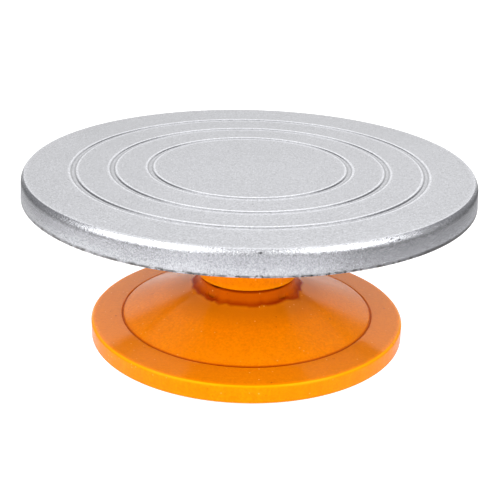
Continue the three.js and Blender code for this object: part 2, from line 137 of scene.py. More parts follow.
# Which finish each CAD node has.
SLOTS = {part["node"]: part["material_slot"] for part in frame["record"]["subparts"]}

# The camera stands in front of the turntable, turned to the middle of the plate's top. It is then
# pitched down and rolled a little.
CAMERA_DISTANCE = 0.728
CAMERA_ELEVATION = math.radians(17.5)
CAMERA_PITCH = math.radians(-4.5)
CAMERA_ROLL = math.radians(1.33)
CAMERA_LENS = 76.9


# ---- Outlines ----


def rounded(corners, closed=False):
    """An outline of (r, z) points from corners (r, z) or (r, z, fillet radius)."""
    points = []
    last = len(corners) - 1
    for i, corner in enumerate(corners):
        here = Vector(corner[:2])
        radius = corner[2] if len(corner) > 2 else 0
        if radius == 0 or (not closed and i in (0, last)):
            points.append(tuple(here))
            continue
        before = Vector(corners[i - 1][:2]) - here
        after = Vector(corners[(i + 1) % len(corners)][:2]) - here
        half = before.angle(after) / 2
        reach = min(radius / math.tan(half), before.length * 0.49, after.length * 0.49)
        radius = reach * math.tan(half)
        start = here + before.normalized() * reach
        inward = (before.normalized() + after.normalized()).normalized()
        centre = here + inward * radius / math.sin(half)
        end = here + after.normalized() * reach
        a = start - centre
        sweep = a.angle_signed(end - centre)
        count = max(2, math.ceil(abs(sweep) / math.radians(15)))
        for k in range(count + 1):
            t = -sweep * k / count
            cos, sin = math.cos(t), math.sin(t)
            points.append(tuple(centre + Vector((a.x * cos - a.y * sin, a.x * sin + a.y * cos))))
    return points


def divided(points, longest, closed=False):
    """The outline with no step longer than longest(r, z)."""
    result = []
    count = len(points) if closed else len(points) - 1
    for i in range(count):
        a, b = Vector(points[i]), Vector(points[(i + 1) % len(points)])
        middle = (a + b) / 2
        pieces = max(1, math.ceil((b - a).length / longest(middle.x, middle.y)))
        result += [tuple(a.lerp(b, k / pieces)) for k in range(pieces)]
    if not closed:
        result.append(points[-1])
    return result


# ---- Meshes ----


def even_angles(steps):
    """Angles of a ring's points, the same at any radius."""
    return lambda r: [TURN * k / steps for k in range(steps)]


# Distances from a rib's middle plane, and how much of the rib's depth stands there.
RIB_SECTION = ((0, 1), (1.5, 1), (2.0, 0.985), (2.3, 0.93), (2.45, 0.84),
               (2.8, 0.2), (3.1, 0.09), (3.7, 0.025), (4.6, 0))


def rib_angles(between):
    """Angles of a ring's points that follow the sides of the radial ribs at any radius."""
    def angles(r):
        widest = RIB_SECTION[-1][0]
        scale = min(1, r * 0.5 / widest)
        distances = [distance * scale for distance, _ in RIB_SECTION]
        offsets = [math.asin(distance / r) for distance in distances]
        edge = offsets[-1]
        gaps = [edge + (RIB_SECTOR - 2 * edge) * k / between for k in range(1, between)]
        one = [-a for a in reversed(offsets[1:])] + offsets + gaps
        return [RIB_SECTOR * (n + 0.5) + a for n in range(RIB_COUNT) for a in one]
    return angles


def rib_share(r, angle):
    """How much of the nearest rib's depth stands at this place: 1 on it, 0 beside it."""
    off = (angle % RIB_SECTOR) - RIB_SECTOR / 2
    if abs(off) > 1:
        return 0
    distance = abs(r * math.sin(off))
    for (d0, s0), (d1, s1) in zip(RIB_SECTION, RIB_SECTION[1:]):
        if distance <= d1 + 1e-6:
            return s0 + (s1 - s0) * (distance - d0) / (d1 - d0)
    return 0


def polar(r, angle, z=0):
    """A point, in millimetres, from its distance from the axis, angle and height."""
    return Vector((r * math.cos(angle), r * math.sin(angle), z))


def turned(name, outline, angles, closed=False, moved=None):
    """A mesh of revolution round Z. moved(r, angle, z) gives a point's shift as (radial, up)."""
    bm = bmesh.new()
    rings = []
    for r, z in outline:
        if r < 1e-6:
            rings.append([bm.verts.new((0, 0, z * MM))])
            continue
        ring = []
        for angle in angles(r):
            out, up = moved(r, angle, z) if moved else (0, 0)
            x, y = (r + out) * math.cos(angle), (r + out) * math.sin(angle)
            ring.append(bm.verts.new((x * MM, y * MM, (z + up) * MM)))
        rings.append(ring)
    pairs = list(zip(rings, rings[1:]))
    if closed:
        pairs.append((rings[-1], rings[0]))
    for a, b in pairs:
        count = max(len(a), len(b))
        if count == 1:
            continue
        for k in range(count):
            n = (k + 1) % count
            corners = [a[k % len(a)], a[n % len(a)], b[n % len(b)], b[k % len(b)]]
            bm.faces.new(list(dict.fromkeys(corners)))
    bmesh.ops.remove_doubles(bm, verts=bm.verts, dist=1e-6)
    bmesh.ops.dissolve_degenerate(bm, edges=bm.edges, dist=1e-7)
    bmesh.ops.recalc_face_normals(bm, faces=bm.faces)
    return finished(name, bm)


def shaded(mesh):
    """Smooth shading, but for the sharp edges."""
    mesh.shade_smooth()
    mesh.set_sharp_from_angle(angle=SHARP_ANGLE)


def finished(name, bm):
    """An object from the bmesh, smooth but for its sharp edges."""
    mesh = bpy.data.meshes.new(name)
    bm.to_mesh(mesh)
    bm.free()
    shaded(mesh)
    thing = bpy.data.objects.new(name, mesh)
    bpy.context.scene.collection.objects.link(thing)
    return thing


def cut(thing, cutters):
    """Takes the cutters, which don't touch one another, out of the thing, and deletes them."""
    bm = bmesh.new()
    for cutter in cutters:
        bm.from_mesh(cutter.data)
        bpy.data.objects.remove(cutter)
    cutter = finished("cutter", bm)
    step = thing.modifiers.new("cut", "BOOLEAN")
    step.operation = "DIFFERENCE"
    step.solver = "EXACT"
    step.object = cutter
    graph = bpy.context.evaluated_depsgraph_get()
    mesh = bpy.data.meshes.new_from_object(thing.evaluated_get(graph))
    thing.modifiers.clear()
    thing.data = mesh
    shaded(mesh)
    bpy.data.objects.remove(cutter)


def rod(radius, low, high, centre=(0, 0), steps=32):
    """An upright rod, to cut a hole with."""
    outline = [(0, low), (radius, low), (radius, high), (0, high)]
    thing = turned("rod", outline, even_angles(steps))
    thing.data.transform(Matrix.Translation((centre[0] * MM, centre[1] * MM, 0)))
    return thing


def screw_holes(radius, low, high):
    """Rods on the screw circle, to cut the holes of the hub's screws with."""
    centres = [polar(SCREW_CIRCLE, TURN * k / SCREW_COUNT) for k in range(SCREW_COUNT)]
    return [rod(radius, low, high, (centre.x, centre.y), 24) for centre in centres]


def pebble(radius, angle, r, z, seed, squash=1.0):
    """A lumpy little ball in millimetres, to cut a pit or a chip with."""
    bm = bmesh.new()
    bmesh.ops.create_icosphere(bm, subdivisions=2, radius=1)
    for vertex in bm.verts:
        lumps = 1 + 0.35 * noise.noise(vertex.co * 1.4 + Vector((seed * 3.7, seed * 1.9, 0)))
        vertex.co = Vector((vertex.co.x, vertex.co.y, vertex.co.z * squash)) * lumps * radius * MM
        vertex.co += polar(r, angle, z) * MM
    return finished("pebble", bm)


def roughly(r, angle, z, size, seed):
    """Smooth noise from -1 to 1 on a casting's skin, with lumps about size millimetres across."""
    return noise.noise(polar(r, angle, z) / size + Vector((seed * 7.3, seed * 3.1, seed * 1.7)))


def hump(value, middle, width):
    """1 at the middle, falling smoothly to nothing about two widths away."""
    return math.exp(-((value - middle) / width) ** 2)


def held(value):
    """The value, but no lower than 0 and no higher than 1."""
    return min(1, max(0, value))


def on_line(r, start, end):
    """Height at r on the straight line through two (r, z) points."""
    return start[1] + (end[1] - start[1]) * (r - start[0]) / (end[0] - start[0])


def placed(piece, body, materials, *nodes):
    """The piece rides on the body, stands for the nodes and takes their finish."""
    slot = SLOTS[nodes[0]]
    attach(piece, body)
    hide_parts(*nodes)
    piece.data.materials.clear()
    piece.data.materials.append(materials[slot])


def with_attribute(thing, name, value):
    """Stores value(x, y, z), in millimetres, on the mesh's points."""
    values = thing.data.attributes.new(name, "FLOAT", "POINT")
    for vertex, item in zip(thing.data.vertices, values.data):
        item.value = value(*(c / MM for c in vertex.co))


# ---- Materials ----


def wire(tree, kind, inputs=None, **settings):
    """A new node. An input is a number, a colour, or a socket to link."""
    node = tree.nodes.new("ShaderNode" + kind)
    for name, value in settings.items():
        setattr(node, name, value)
    for key, value in (inputs or {}).items():
        if isinstance(value, bpy.types.NodeSocket):
            tree.links.new(value, node.inputs[key])
        else:
            node.inputs[key].default_value = value
    return node


def calculate(tree, operation, a, b=0.0):
    """One arithmetic step on numbers or sockets."""
    return wire(tree, "Math", {0: a, 1: b}, operation=operation).outputs[0]


def product(tree, first, *others):
    for other in others:
        first = calculate(tree, "MULTIPLY", first, other)
    return first


def total(tree, first, *others):
    for other in others:
        first = calculate(tree, "ADD", first, other)
    return first


def split(tree, place):
    """A position's three coordinates."""
    return wire(tree, "SeparateXYZ", {0: place}).outputs


def attribute(tree, name):
    """A value that the mesh holds at its points."""
    return wire(tree, "Attribute", attribute_name=name).outputs["Fac"]


def spread(tree, value, low, high, to_low=0.0, to_high=1.0, smooth=False):
    """The value's range from low to high spread over another range, and held at its ends."""
    kind = "SMOOTHSTEP" if smooth else "LINEAR"
    inputs = {"Value": value, "From Min": low, "From Max": high, "To Min": to_low, "To Max": to_high}
    return wire(tree, "MapRange", inputs, interpolation_type=kind).outputs["Result"]


def varied(tree, texture, to_low, to_high):
    """A noise texture's usual range spread over another range."""
    return spread(tree, texture, 0.3, 0.7, to_low, to_high)


def grain(tree, where, scale, detail=2.0, roughness=0.5):
    """A noise texture, with lumps about 1 / scale metres across."""
    inputs = {"Vector": where, "Scale": scale, "Detail": detail, "Roughness": roughness}
    return wire(tree, "TexNoise", inputs).outputs["Fac"]


def blend(tree, factor, a, b):
    """From a, at factor 0, to b, at factor 1. Each is a colour or a socket."""
    node = wire(tree, "Mix", {"Factor": factor}, data_type="RGBA")
    for index, value in ((6, a), (7, b)):
        if isinstance(value, bpy.types.NodeSocket):
            tree.links.new(value, node.inputs[index])
        else:
            node.inputs[index].default_value = (*value, 1)
    return node.outputs[2]


def bump(tree, height, distance, strength=1.0, normal=None):
    """A normal that follows the height, on top of an earlier normal if one is given."""
    inputs = {"Height": height, "Distance": distance, "Strength": strength}
    if normal:
        inputs["Normal"] = normal
    return wire(tree, "Bump", inputs).outputs["Normal"]


def material(name, build, **constants):
    """A node material: build(tree, place) gives the shader's linked inputs."""
    made = bpy.data.materials.new(name)
    made.use_nodes = True
    tree = made.node_tree
    tree.nodes.clear()
    place = wire(tree, "TexCoord").outputs["Object"]
    inputs = dict(build(tree, place))
    inputs.update({key.replace("_", " "): value for key, value in constants.items()})
    shader = wire(tree, "BsdfPrincipled", inputs)
    wire(tree, "OutputMaterial", {"Surface": shader.outputs[0]})
    return made


def near_radius(tree, place):
    """A point's distance from the axis, and its height."""
    across, along, height = split(tree, place)
    flat = wire(tree, "CombineXYZ", {0: across, 1: along}).outputs[0]
    length = wire(tree, "VectorMath", {0: flat}, operation="LENGTH").outputs["Value"]
    return length, height


def dots(tree, place, scale, share, inner, outer):
    """Round spots from inner to outer, in a share of the cells of a cell pattern."""
    cells = wire(tree, "TexVoronoi", {"Vector": place, "Scale": scale})
    chance = wire(tree, "SeparateColor", {0: cells.outputs["Color"]}).outputs[0]
    spot = spread(tree, cells.outputs["Distance"], inner, outer, 1, 0, smooth=True)
    return product(tree, spot, spread(tree, chance, 1 - share, 1 - share + 0.001))


def silver_tone(tree, place, outside, speckle, grit):
    """How light the silver paint is. The shoulder and skirt, where outside is 1, are painted lighter than the
    top, as painted light.
    """
    across, along, height = split(tree, place)
    sparkle = total(tree, varied(tree, speckle, -0.7, 0.7), varied(tree, grit, -0.3, 0.3))
    sparkle = product(tree, sparkle, spread(tree, outside, 0, 1, 0.25, 0.33))
    # Uneven spray in random patches, and painted shade: the paint is painted darker towards the left and
    # towards the back.
    spray_and_painted_shade = total(
        tree, varied(tree, grain(tree, place, 16, 3, 0.55), -0.015, 0.015),
        spread(tree, across, -0.12, 0.0, -0.035, 0), spread(tree, along, 0.02, 0.12, 0, -0.03))
    dark_dots = product(tree, dots(tree, place, 420, 0.03, 0.1, 0.3), -0.22)
    light_dots = product(tree, dots(tree, place, 480, 0.03, 0.1, 0.3), 0.22)
    # Painted light: the shoulder and skirt are painted lighter than the top.
    tone = total(tree, spread(tree, outside, 0, 1, 0.59, 0.72), sparkle, spray_and_painted_shade, dark_dots, light_dots)
    # Painted highlights and shade on the rings and the shoulder's top edge, and darker pits.
    ring_light_and_pits = spread(tree, attribute(tree, "painted_light_and_pits"), -1.0, 1.0, 0.45, 1.55)
    # Painted light and shade: the skirt is painted lighter towards its bottom edge and darker just below the
    # shoulder.
    low = spread(tree, height, (SKIRT_BOTTOM + 2) * MM, (SKIRT_BOTTOM + 11) * MM, 1.07, 0.9, smooth=True)
    return product(tree, tone, ring_light_and_pits, blend(tree, outside, (1, 1, 1), low))


def skirt_chips_and_shade(tree, place, outside):
    """Where the paint is off or dark: chips near the skirt's bottom, and a dark line on its very edge that is
    grime in patches and painted shade towards the sides and all along the right.
    """
    across, _, height = split(tree, place)
    near_edge = spread(tree, height, (SKIRT_BOTTOM + 1.2) * MM, (SKIRT_BOTTOM + 2.6) * MM, 1, 0)
    worn = spread(tree, grain(tree, place, 340, 3, 0.65), 0.53, 0.58)
    # Painted shade: the dark line on the edge grows taller towards the sides.
    to_sides = spread(tree, calculate(tree, "ABSOLUTE", across), 0.05, 0.11, 0, 1.0 * MM)
    on_edge = spread(tree, calculate(tree, "SUBTRACT", height, to_sides),
                     (SKIRT_BOTTOM + 1.1) * MM, (SKIRT_BOTTOM + 2.0) * MM, 0.85, 0)
    patches = spread(tree, grain(tree, place, 130, 2, 0.6), 0.4, 0.6, 0.3, 1)
    # Grime in patches, and painted shade all along the right side of the edge.
    grime_and_shade = calculate(tree, "MAXIMUM", patches, spread(tree, across, 0.06, 0.11))
    chips = calculate(tree, "MAXIMUM", product(tree, near_edge, worn), product(tree, on_edge, grime_and_shade))
    return product(tree, chips, outside)


def silver(tree, place):
    """Silver-painted casting: fine sparkle, painted highlights and shade on the rings and the shoulder's
    edge, chips along the skirt, and a dark line on its bottom edge that is grime and painted shade.
    """
    radius, height = near_radius(tree, place)
    outside = spread(tree, radius, (PLATE_RADIUS - 4) * MM, (PLATE_RADIUS - 2) * MM, smooth=True)
    speckle = grain(tree, place, 1100, 3, 0.8)
    grit = grain(tree, place, 620, 3, 0.75)
    tone = silver_tone(tree, place, outside, speckle, grit)
    bluish = {0: tone, 1: product(tree, tone, 1.01), 2: product(tree, tone, 1.06)}
    paint = wire(tree, "CombineColor", bluish).outputs[0]
    # The chips are dark grime; the edge line is grime and painted shade.
    colour = blend(tree, skirt_chips_and_shade(tree, place, outside), paint, GRIME_AND_SHADE)
    rough = varied(tree, grit, 0.19, 0.27)
    high = spread(tree, height, (PLATE_TOP - 4.5) * MM, (PLATE_TOP - 3) * MM)
    coarse = product(tree, outside, spread(tree, high, 0, 1, 0.6, 1))
    skin = bump(tree, speckle, 0.0004, spread(tree, coarse, 0, 1, 0.10, 0.42))
    skin = bump(tree, grit, 0.0005, spread(tree, coarse, 0, 1, 0.11, 0.3), skin)
    return {"Base Color": colour, "Roughness": rough, "Normal": skin}


def enamel(tree, place):
    """Glossy orange enamel with streaks, dust and burst bubbles, with painted shade round the neck, along the
    groove, on the ledge and on the upper cone, and painted highlights on the rim's bevel and the hub's lower
    edge.
    """
    pool_and_shade, shade_line, painted_light = [attribute(tree, name) for name in ("pool_and_shade", "shade_line", "painted_light")]
    bubble = calculate(tree, "SUBTRACT", dots(tree, place, 120, 0.16, 0.075, 0.11),
                       dots(tree, place, 120, 0.16, 0.03, 0.07))
    drawn_out = wire(tree, "VectorMath", {0: place, 1: (1, 1, 0.06)}, operation="MULTIPLY").outputs[0]
    streaks = grain(tree, drawn_out, 260, 2)
    specks = grain(tree, place, 560, 3, 0.7)
    dirt = dots(tree, place, 300, 0.03, 0.06, 0.2)
    dust = dots(tree, place, 340, 0.10, 0.08, 0.26)
    body = blend(tree, varied(tree, grain(tree, place, 30, 3, 0.5), 0, 1),
                 (0.94, 0.25, 0.0004), (0.98, 0.275, 0.0006))
    # How much of each layer lies over those before it, and the layer's colour.
    layers = (
        (spread(tree, streaks, 0.45, 0.7, 0.0, 0.25), (0.80, 0.16, 0.0004)),
        (spread(tree, specks, 0.35, 0.68, 0.0, 0.7), (0.74, 0.17, 0.0004)),
        # Painted highlight on the rim's bevel and the hub's lower edge.
        (spread(tree, painted_light, 0.0, 1.0), (1.0, 0.36, 0.0008)),
        # Painted shade on the ledge and on the upper cone.
        (spread(tree, painted_light, 0.0, -1.0), (0.66, 0.18, 0.002)),
        # Pooled enamel, painted dark as the shade under the hub.
        (pool_and_shade, (0.58, 0.10, 0.0003)),
        # Painted shade along the groove and along the pool's edge.
        (product(tree, shade_line, 0.95), (0.32, 0.026, 0.0003)),
        (product(tree, bubble, 0.55), (0.45, 0.07, 0.002)),
        (product(tree, dirt, 0.7), (0.38, 0.05, 0.001)),
        (product(tree, dust, 0.6), (1.0, 0.5, 0.12)),
    )
    for share, colour in layers:
        body = blend(tree, share, body, colour)
    skin = bump(tree, grain(tree, place, 260, 2, 0.5), 0.0002, 0.22)
    skin = bump(tree, bubble, 0.00025, 0.6, skin)
    # Rougher and less shiny where the enamel is pooled and where shade is painted.
    darkened = calculate(tree, "MAXIMUM", pool_and_shade, shade_line)
    rough = total(tree, varied(tree, grain(tree, place, 60, 3, 0.6), 0.08, 0.14),
                  spread(tree, darkened, 0, 1, 0, 0.3))
    shine = spread(tree, darkened, 0, 1, 0.5, 0.1)
    return {"Base Color": body, "Roughness": rough, "Specular IOR Level": shine, "Normal": skin}


def polished_steel(tree, place):
    """Ground steel, with fine circular grinding lines round the axis."""
    radius, height = near_radius(tree, place)
    stretched = {0: product(tree, radius, 9.0), 1: product(tree, height, 9.0)}
    lines = grain(tree, wire(tree, "CombineXYZ", stretched).outputs[0], 600, 3, 0.6)
    smears = grain(tree, place, 180, 3, 0.5)
    colour = blend(tree, smears, (0.60, 0.61, 0.63), (0.72, 0.73, 0.75))
    rough = varied(tree, lines, 0.16, 0.3)
    return {"Base Color": colour, "Roughness": rough, "Normal": bump(tree, lines, 0.00003, 0.5)}


def plated_steel(tree, place):
    """Zinc plating: slightly warm, a little iridescent, dulled in patches."""
    patches = grain(tree, place, 220, 4, 0.6)
    tint = blend(tree, grain(tree, place, 90, 2, 0.5), (0.56, 0.55, 0.47), (0.55, 0.58, 0.58))
    colour = blend(tree, spread(tree, patches, 0.45, 0.7), tint, (0.42, 0.42, 0.40))
    skin = bump(tree, grain(tree, place, 1400, 2, 0.5), 0.00004, 0.5)
    return {"Base Color": colour, "Roughness": varied(tree, patches, 0.28, 0.5), "Normal": skin}


def nylon(tree, place):
    """Moulded natural nylon: waxy, slightly yellowed, with a fine matt skin."""
    clouds = grain(tree, place, 260, 3, 0.5)
    colour = blend(tree, clouds, (0.74, 0.70, 0.60), (0.84, 0.82, 0.74))
    rough = varied(tree, grain(tree, place, 900, 2, 0.5), 0.35, 0.5)
    skin = bump(tree, grain(tree, place, 1800, 2, 0.5), 0.00005, 0.5)
    return {"Base Color": colour, "Roughness": rough, "Normal": skin}


def felt(tree, place):
    """Pressed wool: short tangled fibres in mixed browns."""
    fibres = grain(tree, place, 1600, 5, 0.75)
    tufts = grain(tree, place, 420, 3, 0.6)
    colour = blend(tree, fibres, (0.07, 0.055, 0.04), (0.24, 0.19, 0.14))
    skin = bump(tree, total(tree, fibres, tufts), 0.0004, 0.8)
    return {"Base Color": colour, "Roughness": varied(tree, tufts, 0.85, 1.0), "Normal": skin}


def rubber(tree, place):
    """Matt black rubber, greyed by dust where it is rough."""
    dust = grain(tree, place, 300, 4, 0.65)
    colour = blend(tree, spread(tree, dust, 0.45, 0.75), (0.018, 0.018, 0.019), (0.055, 0.054, 0.052))
    skin = bump(tree, grain(tree, place, 1500, 3, 0.6), 0.0001, 0.6)
    return {"Base Color": colour, "Roughness": varied(tree, dust, 0.7, 0.9), "Normal": skin}


def make_materials():
    return {
        "cast_aluminium": material("cast_aluminium", silver, Metallic=0.95),
        "orange_enamel": material("orange_enamel", enamel, Specular_Tint=(1.0, 0.4, 0.03, 1.0), IOR=1.42),
        "bearing_steel": material("bearing_steel", polished_steel, Metallic=1.0),
        "zinc_steel": material("zinc_steel", plated_steel, Metallic=1.0),
        "white_nylon": material("white_nylon", nylon, Subsurface_Weight=0.1),
        "brown_felt": material("brown_felt", felt, Sheen_Weight=0.3),
        "black_rubber": material("black_rubber", rubber),
    }


# ---- Plate ----


# Half of a guide ring's section: distance from its middle, and height against the plate's top.
RING_SECTION = ((0.3, -0.8), (0.8, -0.78), (1.1, -0.66), (1.4, -0.36), (1.65, -0.16), (2.05, -0.03),
                (2.5, 0.05), (2.9, 0.05), (3.8, 0))


def ring_profile(radius):
    """A shallow guide ring, from outside to inside: a groove between two low soft lips."""
    outer = [(radius + d, PLATE_TOP + h) for d, h in reversed(RING_SECTION)]
    inner = [(radius - d, PLATE_TOP + h) for d, h in RING_SECTION]
    return outer + inner


def shoulder():
    """Points up the plate's shoulder, steep above the skirt and gentler towards the top."""
    low, bend, high = Vector((0, -SHOULDER_DROP)), Vector((-0.35, -1.6)), Vector((-SHOULDER_WIDTH, 0))
    curve = [low.lerp(bend, t).lerp(bend.lerp(high, t), t) for t in (k / 7 for k in range(7))]
    return [(PLATE_RADIUS + p.x, PLATE_TOP + p.y) for p in curve]


def plate_outline():
    """From the axis below, round the boss, skirt and shoulder, over the rings to the axis on top."""
    inside = PLATE_RADIUS - SKIRT_WALL
    under = PLATE_TOP - PLATE_WEB
    corners = [
        (0, RECESS_TOP), (RECESS_RADIUS, RECESS_TOP, 1), (RECESS_RADIUS, FLANGE_TOP, 0.5),
        (BOSS_RADIUS, FLANGE_TOP, 0.6), (BOSS_RADIUS + 1, under, 2.5), (inside, under, 3),
        (inside, SKIRT_BOTTOM, 1.2), (SKIRT_RADIUS, SKIRT_BOTTOM, 0.9),
        *shoulder(), (PLATE_RADIUS - SHOULDER_WIDTH, PLATE_TOP, 0.3),
    ]
    top = []
    for radius in RING_RADII:
        top += ring_profile(radius)
    top.append((0, PLATE_TOP))

    def longest(r, z):
        if r > inside and z > PLATE_TOP - 4.5:
            return 0.4
        return 1.5 if r > 140 else 3.5

    return divided(rounded(corners + top[:1])[:-1] + top, longest)


def plate_skin(r, angle, z):
    """Casting unevenness, and the ribs under the web."""
    uneven = roughly(r, angle, z, 38, 1) * 0.05 + roughly(r, angle, z, 7, 2) * 0.03
    up = uneven if z > PLATE_TOP - 4 else 0
    out = uneven * 1.5 if r > PLATE_RADIUS - 2 and z < PLATE_TOP - 0.5 else 0
    under_web = BOSS_RADIUS < r < PLATE_RADIUS - SKIRT_WALL + 0.01
    if under_web and PLATE_RIB_BOTTOM < z < PLATE_TOP - 4:
        up -= (z - PLATE_RIB_BOTTOM) * rib_share(r, angle)
    return out, up


# Pits in the casting, three in the shoulder and one that nicks the middle ring: radius, angle,
# distance from the axis, height and seed.
PITS = (
    (0.65, math.radians(272.6), 152.3, 120.3, 1),
    (0.5, math.radians(302.5), 151.7, 121.0, 2),
    (0.55, math.radians(304.5), 152.5, 119.8, 3),
    (0.5, math.radians(236.4), 94.2, 121.6, 4),
)

# Places round the skirt's bottom edge where a chip may be.
CHIP_PLACES = 64


def painted_light_and_pits(x, y, z):
    """Painted light on the top, from 1 to -1: painted highlights on the rings' lips and the shoulder's top
    edge, painted shade on the rings' walls, and -1 in the pits.
    """
    r = math.hypot(x, y)
    if z > PLATE_TOP - 1:
        away = min(abs(r - ring) for ring in RING_RADII)
        # Painted highlights on the rings' lips, and painted shade on their walls.
        lip_highlights = 0.9 * hump(away, 2.6, 0.6)
        wall_shade = -0.36 * hump(away, 1.25, 0.35)
        # Painted highlight along the shoulder's top edge.
        edge = 0.25 * hump(r, PLATE_RADIUS - SHOULDER_WIDTH, 0.4)
        return lip_highlights + wall_shade + edge
    for radius, angle, away, high, _ in PITS:
        if (Vector((x, y, z)) - polar(away, angle, high)).length < radius * 1.15:
            return -1
    return 0


def edge_chips():
    """Little chips broken out of the skirt's bottom edge, in loose groups."""
    chips = []
    for k in range(CHIP_PLACES):
        shift = 0.7 * noise.noise(Vector((k * 0.37, 5.2, 0)))
        size = 0.45 + 0.7 * abs(noise.noise(Vector((k * 0.71, 1.3, 9.1))))
        if noise.noise(Vector((k * 0.23, 8.8, 2.5))) > -0.1:
            angle = TURN * (k + shift) / CHIP_PLACES
            chips.append(pebble(size, angle, SKIRT_RADIUS, SKIRT_BOTTOM + 0.5, k, 0.8))
    return chips


def make_plate(materials):
    """The plate, with pits, chips and blind screw holes in its boss."""
    plate = turned("plate", plate_outline(), rib_angles(72), moved=plate_skin)
    pits = [pebble(*pit) for pit in PITS]
    holes = screw_holes(3.1, FLANGE_TOP - 2, FLANGE_TOP + 11.5)
    cut(plate, edge_chips() + pits + holes)
    # Where the top is painted lighter or darker, as painted highlights and shade, and the pits.
    with_attribute(plate, "painted_light_and_pits", painted_light_and_pits)
    placed(plate, "turning_plate", materials, "turntable_plate")


# ---- Hub ----


def hub_outline():
    """The hub's section: its rounded mouth, its flange, the hollow behind and the stepped bore."""
    outside = [
        (22.2, HUB_BOTTOM), (HUB_RADIUS, HUB_BOTTOM, 2.4), (HUB_RADIUS, FLANGE_BOTTOM, 4),
        (FLANGE_RADIUS, FLANGE_BOTTOM, 1.2), (FLANGE_RADIUS, FLANGE_TOP, 0.4),
    ]
    tube_top, stop_radius, mouth_radius = 108, 17.5, 18.2
    hollow = [(31.5, FLANGE_TOP, 0.5), (31, 53, 2), (26.2, 53, 2), (25.7, tube_top, 0.5)]
    upper_seat = [(RACE_RADIUS, tube_top, 0.6), (RACE_RADIUS, 84), (stop_radius, 84)]
    lower_seat = [(stop_radius, 64), (RACE_RADIUS, 64), (RACE_RADIUS, 51.95)]
    ring_groove = [(21.25, 51.95), (21.25, 50.1), (RACE_RADIUS, 50.1)]
    seal_groove = [(RACE_RADIUS, 48.2), (22, 48.2), (22, 45.2), (mouth_radius, 45.2, 0.3)]
    mouth = [(mouth_radius, HUB_BOTTOM, 0.5), (20, HUB_BOTTOM)]
    corners = outside + hollow + upper_seat + lower_seat + ring_groove + seal_groove + mouth
    return divided(rounded(corners, closed=True), lambda r, z: 2.5 if r > 34 else 8, closed=True)


def hub_skin(r, angle, z):
    """The enamel's slight runs down the hub, and its uneven thickness."""
    if r < HUB_RADIUS - 3 or z > FLANGE_BOTTOM + 1:
        return 0, 0
    runs = noise.noise(Vector((math.cos(angle), math.sin(angle), z * 0.004)) * 9) * 0.07
    return runs + roughly(r, angle, z, 12, 3) * 0.04, 0


def painted_highlight_on_hub(x, y, z):
    """Painted highlight: 1 at the hub's rounded lower edge."""
    return hump(z, HUB_BOTTOM + 0.8, 1.5) if math.hypot(x, y) > 33 else 0


def make_hub(materials):
    """The hub housing, with through holes for the screws in its flange."""
    hub = turned("hub", hub_outline(), even_angles(240), closed=True, moved=hub_skin)
    cut(hub, screw_holes(3.3, FLANGE_BOTTOM - 1, FLANGE_TOP + 1))
    # Painted highlight on the hub's lower edge.
    with_attribute(hub, "painted_light", painted_highlight_on_hub)
    placed(hub, "turning_plate", materials, "hub_housing")


def knurled(r, angle, z):
    """Fine upright ribs round a screw's head."""
    return (-0.06 * (1 + math.cos(36 * angle)) if r > SCREW_HEAD_RADIUS - 0.1 else 0), 0


def make_screws(materials):
    """Socket-head cap screws that hold the plate on the hub's flange, heads down."""
    for k in range(SCREW_COUNT):
        node = f"hub_screw_{k + 1}"
        low, high = box_in_mm(node)
        head = low[2] + SCREW_HEAD_HEIGHT
        outline = rounded([
            (0, low[2]), (SCREW_HEAD_RADIUS, low[2], 0.5), (SCREW_HEAD_RADIUS, head, 0.2),
            (SCREW_RADIUS, head, 0.2), (SCREW_RADIUS, high[2], 0.5), (0, high[2]),
        ])
        outline = divided(outline, lambda r, z: 1.2 if r > 2.5 else 4)
        screw = turned(f"cap_screw_{k + 1}", outline, even_angles(144), moved=knurled)
        cut(screw, [rod(2.9, low[2] - 1, low[2] + 3, steps=6)])
        centre = Vector((low[0] + high[0], low[1] + high[1], 0)) * MM / 2
        screw.data.transform(Matrix.Translation(centre))
        placed(screw, "turning_plate", materials, node)


# ---- Stand ----


def pool_edge(angle):
    """Radius of the scalloped edge where enamel has pooled round the neck."""
    around = polar(1, angle)
    lobes = abs(noise.noise(around * 3.1 + Vector((4.1, 0, 0)))) * 4.5
    ripples = noise.noise(around * 7 + Vector((0, 2.3, 0))) * 1.1
    nibbles = noise.noise(around * 24 + Vector((0, 2.3, 6.1))) * 0.4
    return POOL_RADIUS + lobes + ripples + nibbles + noise.noise(around * 1.2) * 1.2


